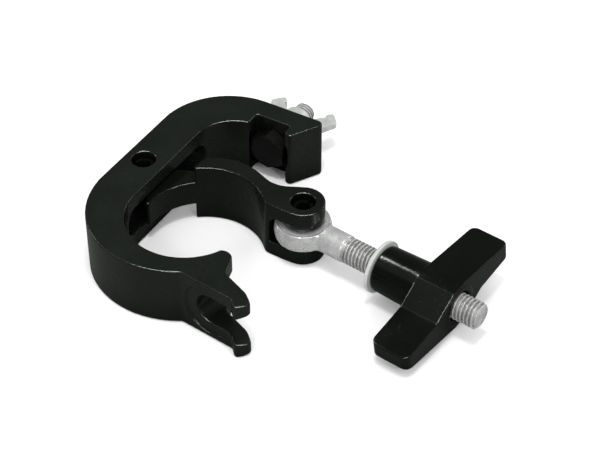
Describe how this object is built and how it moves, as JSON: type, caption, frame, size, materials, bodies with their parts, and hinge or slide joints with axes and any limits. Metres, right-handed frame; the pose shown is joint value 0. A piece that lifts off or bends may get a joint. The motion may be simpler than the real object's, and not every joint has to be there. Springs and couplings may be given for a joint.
{
  "type": "pipe clamp",
  "caption": "Quick-release clamp for a round tube: C-shaped body, hinged jaw, swing bolt with winged handle and a screw for hanging equipment.",
  "frame": {"origin": "centre of the bounding box on the ground plane, the clamp lying on its side", "axes": "+Z along the gripped tube, +Y out of the mounting face along the mounting screw, +X out of the open side of the C"},
  "size_m": [0.1736, 0.143, 0.028],
  "materials": {
    "body_coating": "semi-gloss black coating",
    "jaw_coating": "semi-gloss black coating",
    "handle_coating": "gloss black coating",
    "pin_black": "blackened spring steel",
    "bolt_zinc": "bright zinc plate",
    "washer_pale": "pale grey, satin",
    "insert_steel": "plain steel",
    "hardware_zinc": "zinc plate"
  },
  "bodies": {
    "clamp_frame": {"clamp_body": "body_coating", "arm_pivot_pin": "pin_black", "mount_bolt": "hardware_zinc"},
    "jaw": {"jaw_arm": "jaw_coating", "eye_pivot_pin": "pin_black"},
    "swing_bolt": {"eye_bolt": "bolt_zinc"},
    "nut_carriage": {"thrust_washer": "washer_pale"},
    "handle": {"handle": "handle_coating", "handle_thread_insert": "insert_steel"},
    "mount_washer": {"mount_flat_washer": "hardware_zinc"},
    "wing_nut_carriage": {"mount_spring_washer": "hardware_zinc"},
    "wing_nut": {"mount_wing_nut": "hardware_zinc"}
  },
  "joints": [
    {"name": "jaw_swing", "type": "hinge", "parent": "clamp_frame", "child": "jaw", "pos_m": [-0.07786, -0.01264, 0.014], "axis": [0, 0, 1], "range_deg": [-10.5, 26]},
    {"name": "bolt_swing", "type": "hinge", "parent": "jaw", "child": "swing_bolt", "pos_m": [-0.00386, -0.00164, 0.014], "axis": [0, 0, 1], "range_deg": [-40, 40]},
    {"name": "nut_travel", "type": "slide", "parent": "swing_bolt", "child": "nut_carriage", "axis": [-0.9925, 0.1219, 0], "range_m": [-0.013, 0.0142]},
    {"name": "handle_turn", "type": "hinge", "parent": "nut_carriage", "child": "handle", "pos_m": [-0.00386, -0.00164, 0.0135], "axis": [-0.9925, 0.1219, 0], "range_deg": [-2650, 2900]},
    {"name": "washer_turn", "type": "hinge", "parent": "clamp_frame", "child": "mount_washer", "pos_m": [-0.04366, 0.05136, 0.014], "axis": [0, 1, 0], "continuous": true},
    {"name": "wing_nut_travel", "type": "slide", "parent": "clamp_frame", "child": "wing_nut_carriage", "axis": [0, -1, 0], "range_m": [-0.008, 0.0001]},
    {"name": "wing_nut_turn", "type": "hinge", "parent": "wing_nut_carriage", "child": "wing_nut", "pos_m": [-0.04366, 0.05516, 0.014], "axis": [0, -1, 0], "range_deg": [-1900, 20]}
  ],
  "couplings": [
    {"joint": "nut_travel", "follows": "handle_turn", "m_per_rad": 0.00027852},
    {"joint": "wing_nut_travel", "follows": "wing_nut_turn", "m_per_rad": 0.00023873}
  ]
}
